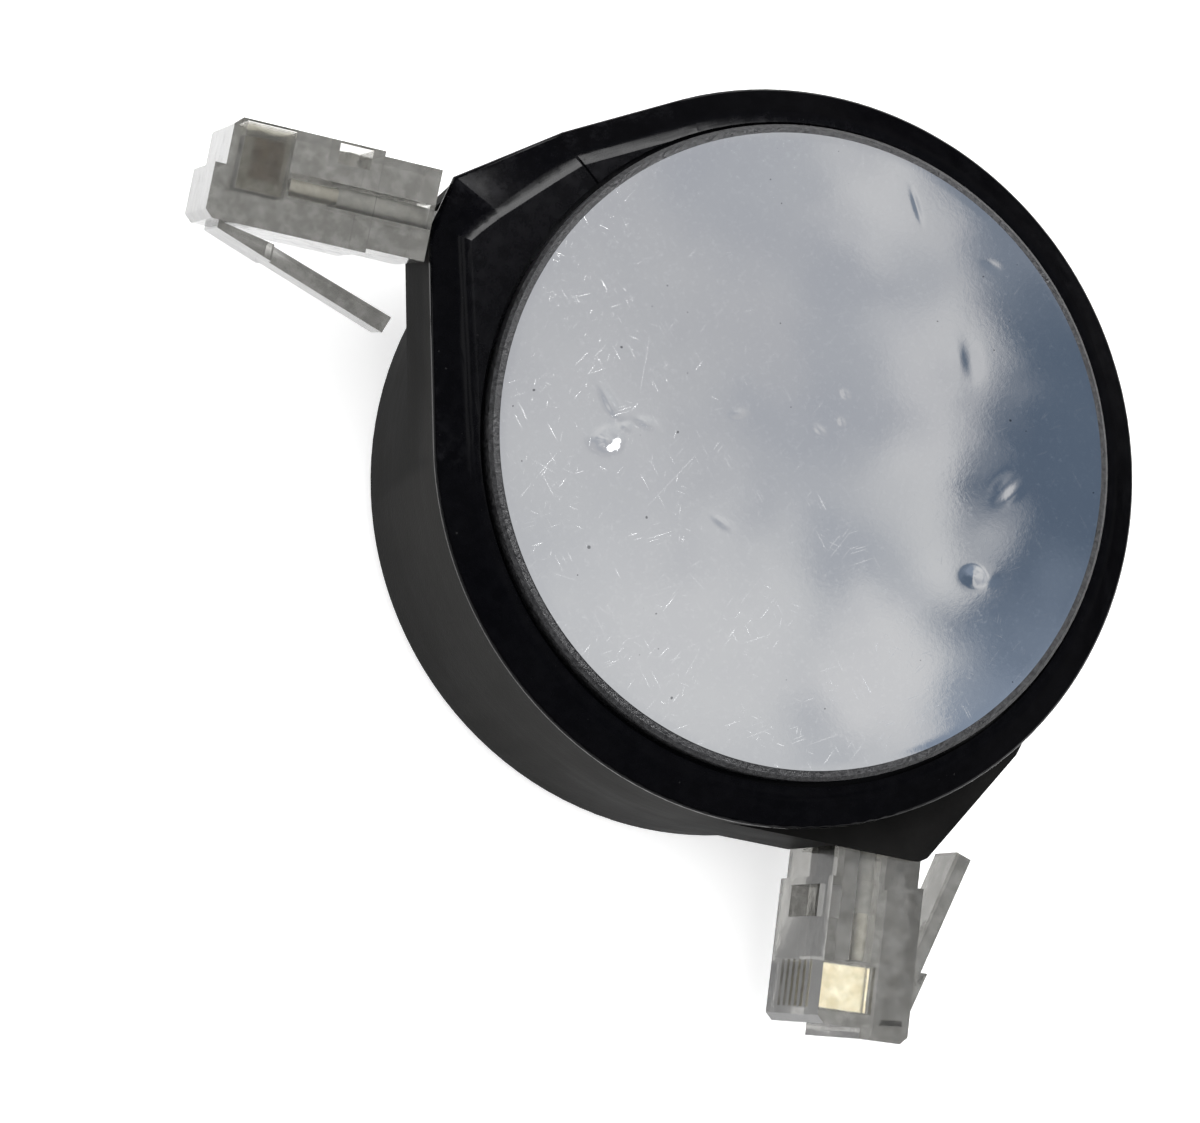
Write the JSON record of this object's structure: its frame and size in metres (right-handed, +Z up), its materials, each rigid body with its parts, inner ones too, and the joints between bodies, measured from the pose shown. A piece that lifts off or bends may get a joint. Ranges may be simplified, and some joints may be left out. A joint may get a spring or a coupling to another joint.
{
  "type": "retractable telephone cord",
  "caption": "Round pocket reel that winds up a flat telephone cord, with a clear modular plug at each of its two side mouths and a silver disc on top.",
  "frame": {"origin": "centre of the base, on the spool's axis", "axes": "+Z up the spool's axis; -Y is the front, halfway between the two cord mouths; mouth A is at -X and mouth B at +X"},
  "size_m": [0.0757, 0.0496, 0.0222],
  "materials": {
    "case_plastic": "fine matt moulded grain",
    "cover_plastic": "glossy black",
    "plate_plastic": "grained edge",
    "label_foil": "bright foil, scratched and dented",
    "steel": "plain",
    "spool_plastic": "natural",
    "spring_steel": "blued strip",
    "cord_sheath": "flat silver-grey sheath",
    "clear_plastic": "clear moulding, greyed",
    "gold_contact": "gold plated",
    "wire_sheath": "pale insulation"
  },
  "bodies": {
    "case": {"case_body": "case_plastic", "top_cover": "cover_plastic", "top_plate": "plate_plastic", "top_label": "label_foil", "centre_screw": "steel", "lock_ball": "steel"},
    "reel": {"spool": "spool_plastic", "spring_lid": "spool_plastic", "spiral_spring": "spring_steel", "upper_winding": "cord_sheath", "lower_winding": "cord_sheath"},
    "plug_a": {"plug_a_body": "clear_plastic", "plug_a_contacts": "gold_contact", "plug_a_wires": "wire_sheath", "plug_a_cord": "cord_sheath"},
    "latch_a": {"plug_a_latch": "clear_plastic"},
    "plug_b": {"plug_b_body": "clear_plastic", "plug_b_contacts": "gold_contact", "plug_b_wires": "wire_sheath", "plug_b_cord": "cord_sheath"},
    "latch_b": {"plug_b_latch": "clear_plastic"}
  },
  "joints": [
    {"name": "spool_turn", "type": "hinge", "parent": "case", "child": "reel", "pos_m": [0, 0, 0.01], "axis": [0, 0, -1], "range_deg": [0, 2520], "stiffness_Nm_per_rad": 0.0004, "springref_deg": -687.55, "deforming": ["spiral_spring", "upper_winding", "lower_winding"]},
    {"name": "cord_a_pull", "type": "slide", "parent": "case", "child": "plug_a", "axis": [-0.7478, -0.6639, 0], "range_m": [0, 0.71]},
    {"name": "latch_a_press", "type": "hinge", "parent": "plug_a", "child": "latch_a", "pos_m": [-0.03485, -0.02069, 0.01537], "axis": [0.1324, -0.1491, 0.9799], "range_deg": [0, 10], "stiffness_Nm_per_rad": 0.01},
    {"name": "cord_b_pull", "type": "slide", "parent": "case", "child": "plug_b", "axis": [0.6807, -0.7325, 0], "range_m": [0, 0.71]},
    {"name": "latch_b_press", "type": "hinge", "parent": "plug_b", "child": "latch_b", "pos_m": [0.03485, -0.01649, 0.01068], "axis": [0, 0, 1], "range_deg": [0, 10], "stiffness_Nm_per_rad": 0.01}
  ],
  "couplings": [
    {"joint": "cord_a_pull", "follows": "spool_turn", "m_per_rad": 0.016},
    {"joint": "cord_b_pull", "follows": "spool_turn", "m_per_rad": 0.016}
  ]
}
